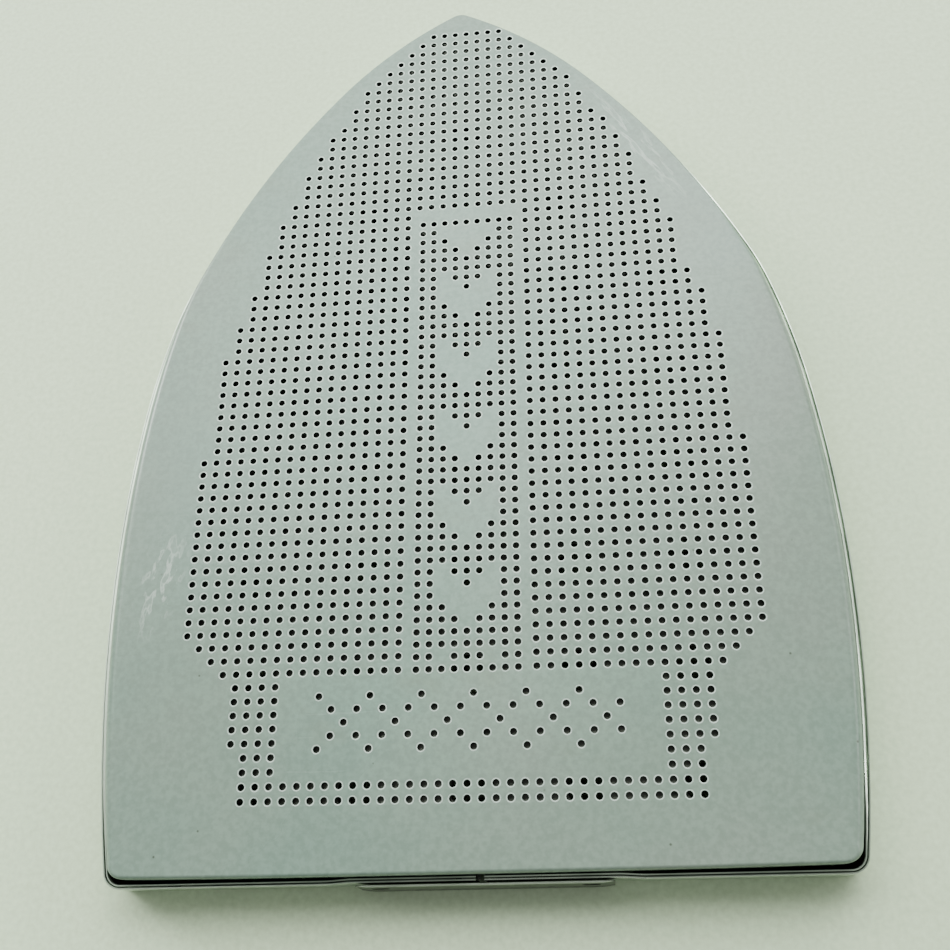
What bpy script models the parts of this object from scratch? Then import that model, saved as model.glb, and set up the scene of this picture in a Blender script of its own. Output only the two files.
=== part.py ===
"""Perforated slip-on shoe for a pressing iron, lying with its working face up.

Metres, +Z up, +Y towards the toe. The origin is at the middle of the base, on the surface that the
rim stands on. The hole field is too fine for this model: the sole sheet is solid here.
"""

from collections import namedtuple
from math import cos, pi, radians, sin

import bmesh
import bpy

MM = 0.001

# ---- driving dimensions, in millimetres and degrees ----
HEIGHT = 10.5
# the sole's outline from the toe to its widest place: radius, turn and steps of each tangent arc
NOSE = (3.3, 28.0, 4)
FLANK_ARCS = ((91.6, 20.7, 7), (190.0, 17.1, 6), (60.0, 7.5, 3), (152.0, 8.8, 3), (285.0, 17.8, 6))
CORNER = (2.0, 80.1, 6)
HEEL_BOW = 0.3
LEAST_RADIUS = 0.4

SHEET = 1.0
SHOULDER = 1.8
SKIRT_DEPTH = 4.2
PLATE = 0.8
PLATE_BEND = 1.0
CLEARANCE = 0.3

BAND_DROP = 2.8
PLY = 0.3
PLY_OUT = (0.75, 1.25)
INNER_LIP_Z = 5.7
INNER_LIP_REACH = 3.2
OUTER_LIP_FRONT = 6.0
OUTER_LIP_REAR = 1.6
OUTER_LIP_BLEND_Y = (-20.0, 40.0)
HEEL_GAP = 1.44
HEEL_GAP_X = 1.1
HEEL_JOG = 0.25

JOINER_X = 1.7
JOINER_HALF = 22.0
JOINER = 0.5
JOINER_CLEARANCE = 0.22
JOINER_Z = (0.8, 7.9)
JOINER_SLANT = 0.45
JOINER_SLOT = (3.2, 2.0)
JOINER_SLOT_IN = 4.0
JOINER_SLOT_DROP = 2.9
JOG_END = 27.5

STEAM_PITCH = 20.0
STEAM_RADIUS = 3.5
STEAM_MARGIN = 9.0

HOOD_STEPS = 7
HOOD_Z = (0.6, 1.2)
HOOD_EDGE = 0.2
HOOD_SAG = 7.0
HOOD_RIVET_STEP = 5
HOOD_RIVET_INSET = 2.0
HOOD_SHANK = 1.2
HOOD_HEAD = 2.0

LUG_X = (62.3, 63.1, 66.0)
LUG_Z = (0.4, 4.8, 5.4)
LUG_Y = (-85.0, -71.0)
LUG_RIVET_X = 64.6
LUG_RIVET_Y = {"front": -74.0, "rear": -82.0}
LUG_SHANK = 0.8
LUG_HEAD = 1.4
RIVET_PLAY = 0.25

WIRE = 0.7
PIVOT_Y = -78.0
PIVOT_Z = 1.7
PIVOT_END_X = 64.3
BAIL_LEG_X = 60.6
BAIL_REACH = 34.0
BAIL_BEND = 4.0
BAIL_GRIP = (16.0, 5.0)
PIVOT_PLAY = 0.3

Corner = namedtuple("Corner", "x y radius aim_x aim_y half_turn")
Station = namedtuple("Station", "x y out_x out_y corner")


# ---- materials ----
def material(name, colour, roughness, metallic):
    made = bpy.data.materials.new(name)
    made.use_nodes = True
    shader = made.node_tree.nodes["Principled BSDF"]
    shader.inputs["Base Color"].default_value = (*colour, 1.0)
    shader.inputs["Roughness"].default_value = roughness
    shader.inputs["Metallic"].default_value = metallic
    return made


# ---- the outline ----
def outward(heading):
    """The unit normal of a path that runs to +X at heading 0 and to -Y at heading 90."""
    return sin(radians(heading)), cos(radians(heading))


def arc(x, y, heading, radius, turn, steps, corner_half=None, aim=None):
    """Stations along one arc, without its first, and where it ends."""
    out_x, out_y = outward(heading)
    centre_x, centre_y = x - radius * out_x, y - radius * out_y
    corner = None
    if corner_half is not None:
        aim_x, aim_y = outward(aim)
        corner = Corner(centre_x, centre_y, radius, aim_x, aim_y, corner_half)
    made = []
    for step in range(1, steps + 1):
        out_x, out_y = outward(heading + turn * step / steps)
        made.append(Station(centre_x + radius * out_x, centre_y + radius * out_y, out_x, out_y, corner))
    return made


def right_side():
    """The right half of the sole's outline, from the toe's tip to where the straight heel starts."""
    radius, turn, steps = NOSE
    tip = Station(0.0, 0.0, 0.0, 1.0, Corner(0.0, -radius, radius, 0.0, 1.0, turn))
    stations = [tip, *arc(0.0, 0.0, 0.0, radius, turn, steps, turn, 0.0)]
    heading = turn
    for radius, turn, steps in FLANK_ARCS:
        stations += arc(stations[-1].x, stations[-1].y, heading, radius, turn, steps)
        heading += turn
    radius, turn, steps = CORNER
    start = stations.pop()
    corner = arc(start.x, start.y, heading, radius, turn, steps, turn / 2, heading + turn / 2)
    stations.append(start._replace(corner=corner[0].corner))
    return stations + corner


SIDE = right_side()
LENGTH = -SIDE[-1].y
JOINER_FACE = PLY_OUT[1] - HEEL_JOG + JOINER_CLEARANCE
TOE_Y = (LENGTH + JOINER_FACE + JOINER + JOINER_SLANT - PLY_OUT[1]) / 2
HEEL_Y = TOE_Y - LENGTH
HEEL_HALF = SIDE[-1].x


def lifted(station, by):
    """The same station moved along Y, with its corner's centre."""
    corner = station.corner and station.corner._replace(y=station.corner.y + by)
    return station._replace(y=station.y + by, corner=corner)


def mirrored(station):
    corner = station.corner
    if corner:
        corner = corner._replace(x=-corner.x, aim_x=-corner.aim_x)
    return station._replace(x=-station.x, out_x=-station.out_x, corner=corner)


def place(station, offset):
    """The point this far outside the outline. Where an inset would use up a corner's radius, the
    corner keeps a small one that still meets both sides."""
    corner = station.corner
    if corner is None or corner.radius + offset >= LEAST_RADIUS:
        return station.x + station.out_x * offset, station.y + station.out_y * offset
    back = (LEAST_RADIUS - corner.radius - offset) / cos(radians(corner.half_turn))
    x = corner.x - corner.aim_x * back + station.out_x * LEAST_RADIUS
    y = corner.y - corner.aim_y * back + station.out_y * LEAST_RADIUS
    return x, y


def sole_loop():
    """The closed outline of the sole. Its heel bows out a little between the corners."""
    right = [lifted(s, TOE_Y) for s in SIDE]
    corner_from = len(right) - CORNER[2] - 1
    right[corner_from:] = [lifted(s, HEEL_BOW) for s in right[corner_from:]]
    for share in (0.9, 0.75, 0.5, 0.25):
        bowed = HEEL_Y + HEEL_BOW * share**4
        right.append(Station(HEEL_HALF * share, bowed, 0.0, -1.0, None))
    middle = Station(0.0, HEEL_Y, 0.0, -1.0, None)
    return [*right, middle, *[mirrored(s) for s in reversed(right[1:])]]


def heel_jog(x):
    """How far the band steps in at this place to lie behind the joiner."""
    flat = JOINER_HALF + 0.4
    share = min(max((abs(x - JOINER_X) - flat) / (JOG_END - flat), 0.0), 1.0)
    return HEEL_JOG * (1 - share * share * (3 - 2 * share))


def heel_run(side):
    """The band's stations along one half of the heel, from its end at the gap to the corner."""
    places = [HEEL_GAP_X + side * HEEL_GAP / 2]
    flat = JOINER_HALF + 0.4
    for step in range(5):
        places.append(JOINER_X + side * (flat + (JOG_END - flat) * step / 4))
    return [Station(x, HEEL_Y + heel_jog(x), 0.0, -1.0, None) for x in places]


def band_path():
    """The band's open path: from the gap round the right side, the toe and the left side."""
    right = [lifted(s, TOE_Y) for s in SIDE]
    left = [mirrored(s) for s in right[1:]]
    return [*heel_run(1), *reversed(right), *left, *reversed(heel_run(-1))]


# ---- solids ----
def finish(name, mesh_points, faces, look, origin=(0.0, 0.0, 0.0)):
    """An object from points in millimetres, with its origin where it turns or in the middle."""
    build = bmesh.new()
    corners = [build.verts.new([(p - o) * MM for p, o in zip(point, origin)]) for point in mesh_points]
    for face in faces:
        build.faces.new([corners[i] for i in face])
    bmesh.ops.recalc_face_normals(build, faces=build.faces)
    mesh = bpy.data.meshes.new(name)
    build.to_mesh(mesh)
    build.free()
    mesh.materials.append(look)
    made = bpy.data.objects.new(name, mesh)
    made.location = [o * MM for o in origin]
    bpy.context.collection.objects.link(made)
    return made


def ring_faces(rings, size, closed):
    """Quads between rings of points that lie one after another."""
    faces = []
    for ring in range(rings if closed else rings - 1):
        here, there = ring * size, (ring + 1) % rings * size
        for i in range(size):
            j = (i + 1) % size
            faces.append((here + i, here + j, there + j, there + i))
    return faces


def tray(name, profile, look):
    """A formed sheet with a flat top: each (offset, z) of the profile is one loop of the outline."""
    loop = sole_loop()
    points = [(*place(s, offset), z) for offset, z in profile for s in loop]
    size = len(loop)
    faces = ring_faces(len(profile), size, False)
    faces.append(tuple(range(size)))
    faces.append(tuple(range(len(points) - size, len(points))))
    return finish(name, points, faces, look)


def band(name, section, look):
    """A folded strip along the band's path. section gives its closed outline at a station."""
    path = band_path()
    points = [(*place(s, offset), z) for s in path for offset, z in section(s)]
    size = len(section(path[0]))
    faces = ring_faces(len(path), size, False)
    faces.append(tuple(range(size)))
    faces.append(tuple(range(len(points) - size, len(points))))
    return finish(name, points, faces, look)


def prism(name, outline, axis, low, high, look):
    """An outline extruded along X (axis 0), Y (axis 1) or Z (axis 2)."""
    points = []
    for level in (low, high):
        for a, b in outline:
            point = [a, b]
            point.insert(axis, level)
            points.append(point)
    size = len(outline)
    faces = ring_faces(2, size, False)
    faces.append(tuple(range(size)))
    faces.append(tuple(range(size, 2 * size)))
    return finish(name, points, faces, look)


def turned(name, x, y, profile, look, sides=16):
    """A solid of revolution about a vertical axis: (radius, z) from one end to the other."""
    points = []
    for radius, z in profile:
        for i in range(sides):
            turn = 2 * pi * i / sides
            points.append((x + radius * cos(turn), y + radius * sin(turn), z))
    faces = ring_faces(len(profile), sides, False)
    faces.append(tuple(range(sides)))
    faces.append(tuple(range(len(points) - sides, len(points))))
    return finish(name, points, faces, look, (x, y, 0.0))


def cutter(made):
    made.hide_render = True
    made.display_type = "WIRE"
    return made


def cut(target, tools):
    for tool in tools:
        boolean = target.modifiers.new("cut", "BOOLEAN")
        boolean.operation = "DIFFERENCE"
        boolean.solver = "EXACT"
        boolean.object = cutter(tool)


# ---- the sub-parts ----
def sole_sheet(look):
    top = HEIGHT
    inner = SHOULDER - SHEET
    level = top - SHOULDER
    profile = []
    for turn in (0.0, 22.5, 45.0, 67.5, 90.0):
        out, up = sin(radians(turn)), cos(radians(turn))
        profile.append((SHOULDER * (out - 1), level + SHOULDER * up))
    profile.append((0.0, top - SKIRT_DEPTH))
    profile.append((-SHEET, top - SKIRT_DEPTH))
    for turn in (90.0, 45.0, 0.0):
        out, up = sin(radians(turn)), cos(radians(turn))
        profile.append((inner * out - SHOULDER, level + inner * up))
    return tray("sole_sheet", profile, look)


def steam_holes(top):
    """One cutter of separate round bars on a square grid inside the outline."""
    loop = sole_loop()
    bars = []
    rows = range(-4, 5)
    for row in rows:
        y = row * STEAM_PITCH
        near = [abs(s.x) for s in loop if abs(s.y - y) < STEAM_PITCH / 2 and abs(s.x) > 1.0]
        half = min(near) - STEAM_MARGIN - STEAM_RADIUS if near else 0.0
        count = int(half // STEAM_PITCH) if half > 0 else -1
        bars += [(column * STEAM_PITCH, y) for column in range(-count, count + 1)]
    points, faces = [], []
    sides = 12
    for x, y in bars:
        first = len(points)
        for z in (top - 3.0, top + 1.0):
            for i in range(sides):
                turn = 2 * pi * i / sides
                points.append((x + STEAM_RADIUS * cos(turn), y + STEAM_RADIUS * sin(turn), z))
        faces += [tuple(first + i for i in face) for face in ring_faces(2, sides, False)]
        faces.append(tuple(range(first, first + sides)))
        faces.append(tuple(range(first + sides, first + 2 * sides)))
    return finish("steam_hole_cutter", points, faces, None)


def heat_plate(look):
    top = HEIGHT - SHEET - CLEARANCE
    face = -SHEET - CLEARANCE
    bend = face - PLATE_BEND
    inner = PLATE_BEND - PLATE
    level = top - PLATE_BEND
    foot = HEIGHT - SKIRT_DEPTH
    profile = []
    for turn in (0.0, 45.0, 90.0):
        out, up = sin(radians(turn)), cos(radians(turn))
        profile.append((bend + PLATE_BEND * out, level + PLATE_BEND * up))
    profile.append((face, foot))
    profile.append((face - PLATE, foot))
    for turn in (90.0, 0.0):
        out, up = sin(radians(turn)), cos(radians(turn))
        profile.append((bend + inner * out, level + inner * up))
    made = tray("heat_plate", profile, look)
    cut(made, [steam_holes(top)])
    return made


def inner_band(look):
    top = HEIGHT - BAND_DROP
    face, back = PLY_OUT[0], PLY_OUT[0] - PLY

    def section(station):
        low, high = INNER_LIP_Z, INNER_LIP_Z + PLY
        return [
            (face, top), (face, low), (-INNER_LIP_REACH, low),
            (-INNER_LIP_REACH, high), (back, high), (back, top),
        ]

    return band("inner_band", section, look)


def outer_lip(y):
    """The width of the rim's base: wide round the front, narrow at the heel."""
    rear, front = OUTER_LIP_BLEND_Y
    share = min(max((y - rear) / (front - rear), 0.0), 1.0)
    share = share * share * (3 - 2 * share)
    return OUTER_LIP_REAR + (OUTER_LIP_FRONT - OUTER_LIP_REAR) * share


def outer_band(look):
    top = HEIGHT - BAND_DROP
    face, back = PLY_OUT[1], PLY_OUT[1] - PLY

    def section(station):
        inner = face - outer_lip(station.y)
        return [(face, top), (face, 0.0), (inner, 0.0), (inner, PLY), (back, PLY), (back, top)]

    return band("outer_band", section, look)


def heel_joiner(look):
    """The strip across the gap. Its foot stands off the band further than its top."""
    inner, outer = HEEL_Y - JOINER_FACE, HEEL_Y - JOINER_FACE - JOINER
    left, right = JOINER_X - JOINER_HALF, JOINER_X + JOINER_HALF
    low, high = JOINER_Z
    profile = [(inner, high), (outer, high), (outer - JOINER_SLANT, low), (inner - JOINER_SLANT, low)]
    made = prism("heel_joiner", profile, 0, left, right, look)
    width, height = JOINER_SLOT
    middle_z = JOINER_Z[1] - JOINER_SLOT_DROP
    slots = []
    for side, x in (("left", left + JOINER_SLOT_IN), ("right", right - JOINER_SLOT_IN)):
        foot, head = middle_z - height / 2, middle_z + height / 2
        front = [(x - width / 2, foot), (x + width / 2, foot), (x + width / 2, head), (x - width / 2, head)]
        slots.append(prism(f"slot_cutter_{side}", front, 1, outer - 2, inner + 1, None))
    cut(made, slots)
    return made


def hood_rivet_places():
    right = lifted(SIDE[NOSE[2] + HOOD_RIVET_STEP], TOE_Y)
    x, y = place(right, -HOOD_RIVET_INSET)
    return {"left": (-x, y), "right": (x, y)}


def toe_hood(look):
    right = [place(lifted(s, TOE_Y), HOOD_EDGE) for s in SIDE[: NOSE[2] + HOOD_STEPS + 1]]
    left = [(-x, y) for x, y in reversed(right[1:])]
    end_x, end_y = right[-1]
    rear = []
    for share in (0.75, 0.5, 0.25, 0.0, -0.25, -0.5, -0.75):
        rear.append((end_x * share, end_y + HOOD_SAG * (1 - share * share)))
    return prism("toe_hood", [*right, *rear, *left], 2, *HOOD_Z, look)


def rivet_bore(name, x, y, radius, low, high):
    return turned(name, x, y, [(radius, low), (radius, high)], None)


def hinge_lug(side, sign, look):
    ear_in, ear_out, edge = (sign * x for x in LUG_X)
    foot, low, high = LUG_Z
    section = [(ear_in, foot), (ear_out, foot), (ear_out, low), (edge, low), (edge, high), (ear_in, high)]
    made = prism(f"hinge_lug_{side}", section, 1, *LUG_Y, look)
    tools = []
    for end, y in LUG_RIVET_Y.items():
        name = f"lug_bore_{side}_{end}"
        tools.append(rivet_bore(name, sign * LUG_RIVET_X, y, LUG_SHANK + RIVET_PLAY, low - 1, high + 1))
    pivot = []
    sides = 12
    radius = WIRE + PIVOT_PLAY
    for x in (LUG_X[0] - 1, LUG_X[1] + 1):
        for i in range(sides):
            turn = 2 * pi * i / sides
            pivot.append((sign * x, PIVOT_Y + radius * cos(turn), PIVOT_Z + radius * sin(turn)))
    faces = ring_faces(2, sides, False)
    faces.append(tuple(range(sides)))
    faces.append(tuple(range(sides, 2 * sides)))
    tools.append(finish(f"pivot_cutter_{side}", pivot, faces, None))
    cut(made, tools)
    return made


def rounded(corners, radius, steps=4):
    """The path through these corners with each bend an arc of its own, as a list of points."""
    path = [corners[0]]
    for before, corner, after in zip(corners, corners[1:], corners[2:]):
        into = [c - b for b, c in zip(before, corner)]
        onward = [a - c for c, a in zip(corner, after)]
        length_in = sum(v * v for v in into) ** 0.5
        length_on = sum(v * v for v in onward) ** 0.5
        cut_back = min(radius, 0.45 * length_in, 0.45 * length_on)
        start = [c - v / length_in * cut_back for c, v in zip(corner, into)]
        end = [c + v / length_on * cut_back for c, v in zip(corner, onward)]
        for step in range(steps + 1):
            t = step / steps
            weights = ((1 - t) ** 2, 2 * t * (1 - t), t * t)
            path.append(tuple(sum(w * v for w, v in zip(weights, p)) for p in zip(start, corner, end)))
    path.append(corners[-1])
    return path


def bail_corners():
    """The wire's corners from its right end to its left, measured from the pivot."""
    grip_half, grip_out = BAIL_GRIP
    drop = WIRE - PIVOT_Z
    right = [
        (PIVOT_END_X, 0.0, 0.0),
        (BAIL_LEG_X, 0.0, 0.0),
        (BAIL_LEG_X, BAIL_REACH, drop),
        (grip_half + grip_out, BAIL_REACH, drop),
        (grip_half, BAIL_REACH + grip_out, drop),
    ]
    return right + [(-x, y, z) for x, y, z in reversed(right)]


def heel_bail(look):
    points = rounded(bail_corners(), BAIL_BEND)
    curve = bpy.data.curves.new("heel_bail", "CURVE")
    curve.dimensions = "3D"
    curve.bevel_depth = WIRE * MM
    curve.bevel_resolution = 2
    curve.use_fill_caps = True
    spline = curve.splines.new("POLY")
    spline.points.add(len(points) - 1)
    for knot, point in zip(spline.points, points):
        knot.co = (*[v * MM for v in point], 1.0)
    curve.materials.append(look)
    made = bpy.data.objects.new("heel_bail", curve)
    made.location = (0.0, PIVOT_Y * MM, PIVOT_Z * MM)
    bpy.context.collection.objects.link(made)
    return made


def main():
    for old in list(bpy.data.objects):
        bpy.data.objects.remove(old, do_unlink=True)
    non_stick = material("non_stick_sheet", (0.36, 0.41, 0.37), 0.38, 0.0)
    aluminium = material("aluminium", (0.55, 0.56, 0.54), 0.35, 1.0)
    steel = material("stainless_steel", (0.50, 0.50, 0.48), 0.25, 1.0)

    sole_sheet(non_stick)
    heat_plate(aluminium)
    rim_inner = inner_band(aluminium)
    rim_outer = outer_band(aluminium)
    heel_joiner(aluminium)

    hood = toe_hood(steel)
    hood_bores = []
    for side, (x, y) in hood_rivet_places().items():
        low, high = HOOD_Z
        top = high + CLEARANCE
        profile = [(HOOD_SHANK, 0.05), (HOOD_SHANK, top), (HOOD_HEAD, top), (HOOD_HEAD, top + 0.5)]
        turned(f"hood_rivet_{side}", x, y, [*profile, (HOOD_HEAD * 0.7, top + 0.9)], steel)
        hood_bores.append(rivet_bore(f"hood_bore_{side}", x, y, HOOD_SHANK + RIVET_PLAY, -1.0, high + 1))
    cut(hood, hood_bores)
    cut(rim_outer, hood_bores)

    lip_bores = []
    for side, sign in (("left", -1), ("right", 1)):
        hinge_lug(side, sign, steel)
        for end, y in LUG_RIVET_Y.items():
            x = sign * LUG_RIVET_X
            under = LUG_Z[1] - CLEARANCE
            head = [(LUG_HEAD * 0.7, under - 0.8), (LUG_HEAD, under - 0.5), (LUG_HEAD, under)]
            shank = [(LUG_SHANK, under), (LUG_SHANK, INNER_LIP_Z + PLY - 0.05)]
            turned(f"lug_rivet_{side}_{end}", x, y, [*head, *shank], steel)
            name = f"lip_bore_{side}_{end}"
            low, high = INNER_LIP_Z - 0.2, INNER_LIP_Z + PLY + 0.2
            lip_bores.append(rivet_bore(name, x, y, LUG_SHANK + RIVET_PLAY, low, high))
    cut(rim_inner, lip_bores)
    heel_bail(steel)


main()
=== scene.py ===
"""The looks of a perforated slip-on iron shoe, lying with its working face up on a pale table."""
from collections import namedtuple
from math import cos, pi, radians, sin

import bmesh
import bpy
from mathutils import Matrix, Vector, geometry


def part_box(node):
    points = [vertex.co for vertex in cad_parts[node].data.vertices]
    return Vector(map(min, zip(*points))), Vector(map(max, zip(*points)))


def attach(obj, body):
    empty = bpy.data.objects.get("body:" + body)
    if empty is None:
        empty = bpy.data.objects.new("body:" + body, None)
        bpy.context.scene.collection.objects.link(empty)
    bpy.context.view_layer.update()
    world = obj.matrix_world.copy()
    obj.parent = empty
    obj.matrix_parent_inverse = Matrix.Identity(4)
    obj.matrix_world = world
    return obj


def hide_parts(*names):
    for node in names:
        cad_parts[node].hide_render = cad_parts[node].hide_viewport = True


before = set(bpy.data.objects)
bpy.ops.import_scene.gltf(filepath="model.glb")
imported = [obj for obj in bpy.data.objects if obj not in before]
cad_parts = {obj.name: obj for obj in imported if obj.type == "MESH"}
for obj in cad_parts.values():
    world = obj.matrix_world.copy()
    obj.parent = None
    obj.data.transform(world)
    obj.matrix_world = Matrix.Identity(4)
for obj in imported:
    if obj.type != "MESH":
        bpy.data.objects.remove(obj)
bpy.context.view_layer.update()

MM = 0.001
SHOE = "shoe"
BAIL = "bail"


def corners_mm(node):
    low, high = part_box(node)
    return low / MM, high / MM


SOLE_LOW, SOLE_HIGH = corners_mm("sole_sheet")
OUTER_HIGH = corners_mm("outer_band")[1]
INNER_LOW, INNER_HIGH = corners_mm("inner_band")
PLATE_LOW, PLATE_HIGH = corners_mm("heat_plate")
HOOD_LOW, HOOD_HIGH = corners_mm("toe_hood")
JOINER_LOW, JOINER_HIGH = corners_mm("heel_joiner")

# ---- the outline, in millimetres and degrees, as the frame was drawn ----
NOSE = (3.3, 28.0, 4)
FLANK_ARCS = ((91.6, 20.7, 7), (190.0, 17.1, 6), (60.0, 7.5, 3), (152.0, 8.8, 3), (285.0, 17.8, 6))
CORNER = (2.0, 80.1, 6)
FINER = 4
HEEL_BOW = 0.3
HEEL_STEPS = 24
LEAST_RADIUS = 0.4
SHEET = 0.6
EDGE_BREAK = 0.1
SHOULDER = (2.3, 0.45)
SHOULDER_BLEND_Y = (-5.0, 62.0)
HEEL_SHOULDER = 0.7
SOLE_CORNER = 3.6
PLATE = 0.8
PLATE_BEND = 1.0
CLEARANCE = 0.3
PLY = 0.3
PLY_EDGE = 0.07
PLY_BEND = 0.35
INNER_FACE = 0.75
SNUG_OUT = 0.17
SNUG_IN = 0.24
SNUG_Y = (-90.0, -76.0)
SNUG_SIDEWAYS = (0.5, 0.9)
SNUG_SLOPE = 0.28
OUTER_FACE = 1.25
INNER_LIP = 3.2
OUTER_LIP = (1.6, 6.0)
OUTER_LIP_BLEND_Y = (-20.0, 40.0)
HEEL_GAP = 1.44
HEEL_GAP_X = 1.1
HEEL_JOG = 0.25
JOG_RUN = 5.1
HEEL_RUN_STEPS = 60
SOLE_SHEET = 1.0
STEAM_PITCH = 20.0
STEAM_RADIUS = 3.5
STEAM_MARGIN = 9.0
STEAM_LIP = 0.15
STEAM_ROWS = 4
STEAM_SIDES = 32
JOINER_SLANT = 0.45
STRIP_STANDOFF = 0.12
STRIP_STEPS = 44
STRIP_EDGE = 0.08
STRIP_THIN = (0.22, 2.0)
STRIP_DROP = (0.5, 1.2)
SLOT_SIDES = 24
JOINER_SLOT = (3.2, 2.0)
JOINER_SLOT_IN = 4.0
JOINER_SLOT_DROP = 2.9
HOOD_EDGE = 0.2
HOOD_SAG = 7.0
HOOD_SAG_STEPS = 24
HOOD_SHANK = 1.2
HOOD_BORE = 1.3
HOOD_CROWN = 0.9
HOOD_SOFTENED = 0.12
LUG_PLATE = 0.7
LUG_BEND = 0.35
LUG_CORNER = 2.0
LUG_STEPS = 20
LUG_SOFTENED = 0.1
LUG_SHANK = 0.8
LUG_BORE = 0.85
BORE_HALF = 2.0
LUG_CROWN = 0.8
RIVET_SIDES = 36
RIVET_POLE = 0.02
RIVET_BRIM = 0.12
RIVET_MARK = (0.16, 0.10, 0.12)
WIRE = 0.7
WIRE_SIDES = 20
WIRE_END = 0.75
PIVOT_Y = -78.0
PIVOT_Z = 1.7
PIVOT_END_X = 64.3
PIVOT_PLAY = 0.3
BAIL_LEG_X = 60.6
BAIL_REACH = 34.0
BAIL_BEND = 4.0
BAIL_GRIP = (16.0, 5.0)

# ---- the punched field, which sits a little askew in the outline ----
FIELD_SHIFT = (0.33, 1.105)
FIELD_TURN = -0.63
PITCH = 2.5
FIRST_ROW = 87.3
HOLE = 0.65
DIMPLE = 0.86
DIMPLE_DEPTH = 0.035
WALL_LIT = 0.22
HOLE_SIDES = 12
# where the painted highlight round the holes goes from faint at the heel to strong at the toe
GLINT_FAINT_Y, GLINT_STRONG_Y = -90.0, 60.0
NARROWEST = 3
# how many rows the field keeps each width, from the toe: it widens by a column at a time
ROWS_AT_WIDTH = (1, 1, 1, 1, 1, 1, 2, 2, 1, 2, 2, 3, 2, 3, 4, 3, 3, 9, 15)
EARLY_ON_THE_RIGHT = (17, 19)
NARROWING_ROWS = 3
PANEL_FROM_ROW = 20
PANEL_CLEAR = 5
SIDE_BLOCKS = ((14, 17, 5), (14, 16, 2))
LAST_ROWS = (16, 2)
PANEL_COLUMNS, PANEL_ROWS = 9, 43
PANEL_PITCH = (2.306, 2.277)
PANEL_TOP = 35.37
CHEVRON_RISE = 7
HEEL_MOTIF = (24, 5, 2.33)
HEEL_MOTIF_TOP = -64.63

# ---- scuffs in the film: centre, turn, half length, half width, and how fine the streaks are ----
SCUFFS = (((37.5, 53.5), -58.0, 21.0, 3.6, 2.2), ((-59.0, -40.0), 78.0, 13.0, 5.0, 2.6))
SCUFF_STRENGTH = 0.55

# ---- colours, as linear RGB ----
FILM_GREEN = (0.246, 0.356, 0.306)
FILM_GREY = (0.269, 0.366, 0.312)
FILM_ROSE = (0.285, 0.360, 0.314)
FILM_SMUDGE = (0.246, 0.284, 0.218)
FILM_SCUFF = (0.62, 0.70, 0.64)
SPECK = (0.075, 0.085, 0.060)
# near black, for painted shade in the gaps between the sheet, the rim plies and the heel strip
SHADE_BLACK = (0.006, 0.006, 0.004)
# painted shade on the heel strip's face
STRIP_PAINTED_SHADE = (0.19, 0.21, 0.175)
# the painted highlight round the holes, dark and light
GLINT_DARK = (0.56, 0.68, 0.61)
GLINT_LIGHT = (0.78, 0.90, 0.82)
TABLE_DARK = (0.645, 0.790, 0.535)
TABLE_LIGHT = (0.755, 0.910, 0.640)

# ---- the film's tint and painted shade: an oval, by its scale per metre and its shift, and a tint from its middle out that darkens as painted shade towards the rim and the heel ----
SHADE_OVAL_SCALE = (14.5, 9.6, 0.0)
SHADE_OVAL_SHIFT = (0.02, -0.14, 0.0)
TINTS_AND_PAINTED_SHADE = [(0.25, (0.99, 1.035, 1.035)), (0.62, (0.92, 0.93, 0.91)), (1.0, (0.765, 0.755, 0.725))]

# ---- metals: dark and light streaks, least and greatest roughness, the grain's stretch and scale ----
ROLLED = (6.0, 6.0, 300.0)
METALS = {
    "rolled_rim": ((0.46, 0.53, 0.45), (0.74, 0.82, 0.71), (0.24, 0.40), ROLLED, 3.0),
    "inner_rim_shaded": ((0.44, 0.52, 0.43), (0.72, 0.82, 0.69), (0.26, 0.42), ROLLED, 3.0),
    "strip_shaded_face": ((0.30, 0.34, 0.28), (0.52, 0.58, 0.49), (0.34, 0.50), ROLLED, 3.0),
    "oxidised_plate": ((0.15, 0.16, 0.14), (0.24, 0.25, 0.22), (0.45, 0.62), (20.0, 400.0, 20.0), 2.0),
    "bright_steel": ((0.42, 0.42, 0.40), (0.62, 0.62, 0.59), (0.18, 0.32), (300.0, 20.0, 20.0), 3.0),
}

# ---- lights: azimuth and elevation, distance and size in metres, watts and colour ----
LIGHTS = {
    "window": (-12.0, 47.0, 1.8, (3.9, 1.45), 85.0, (0.94, 1.0, 0.935)),
    "bright_pane": (15.0, 53.0, 1.15, (0.30, 0.24), 1.5, (0.98, 1.0, 0.98)),
    "low_right": (62.0, 25.0, 1.2, (1.7, 0.12), 8.0, (0.97, 1.0, 0.96)),
    "low_left": (-56.0, 21.0, 1.2, (0.40, 0.25), 8.0, (0.97, 1.0, 0.96)),
}
ROOM_COLOUR = (0.95, 0.98, 0.95, 1.0)
ROOM_STRENGTH = 0.27

# ---- the camera, in metres and degrees, with its sensor and lens in millimetres ----
CAMERA_AT = (0.022845, -0.103129, 0.20299)
CAMERA_TURN = (22.666, 6.632, -0.868)
CAMERA_SENSOR = 36.0
CAMERA_LENS = 41.54
CAMERA_NEAREST = 0.005
TABLE_SIZE = 6.0

Corner = namedtuple("Corner", "x y radius aim_x aim_y half_turn")
Station = namedtuple("Station", "x y out_x out_y corner")


def outward(heading):
    return sin(radians(heading)), cos(radians(heading))


def arc(x, y, heading, radius, turn, steps, corner_half=None, aim=None):
    out_x, out_y = outward(heading)
    centre_x, centre_y = x - radius * out_x, y - radius * out_y
    corner = None
    if corner_half is not None:
        corner = Corner(centre_x, centre_y, radius, *outward(aim), corner_half)
    made = []
    for step in range(1, steps + 1):
        out_x, out_y = outward(heading + turn * step / steps)
        made.append(Station(centre_x + radius * out_x, centre_y + radius * out_y, out_x, out_y, corner))
    return made


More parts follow.
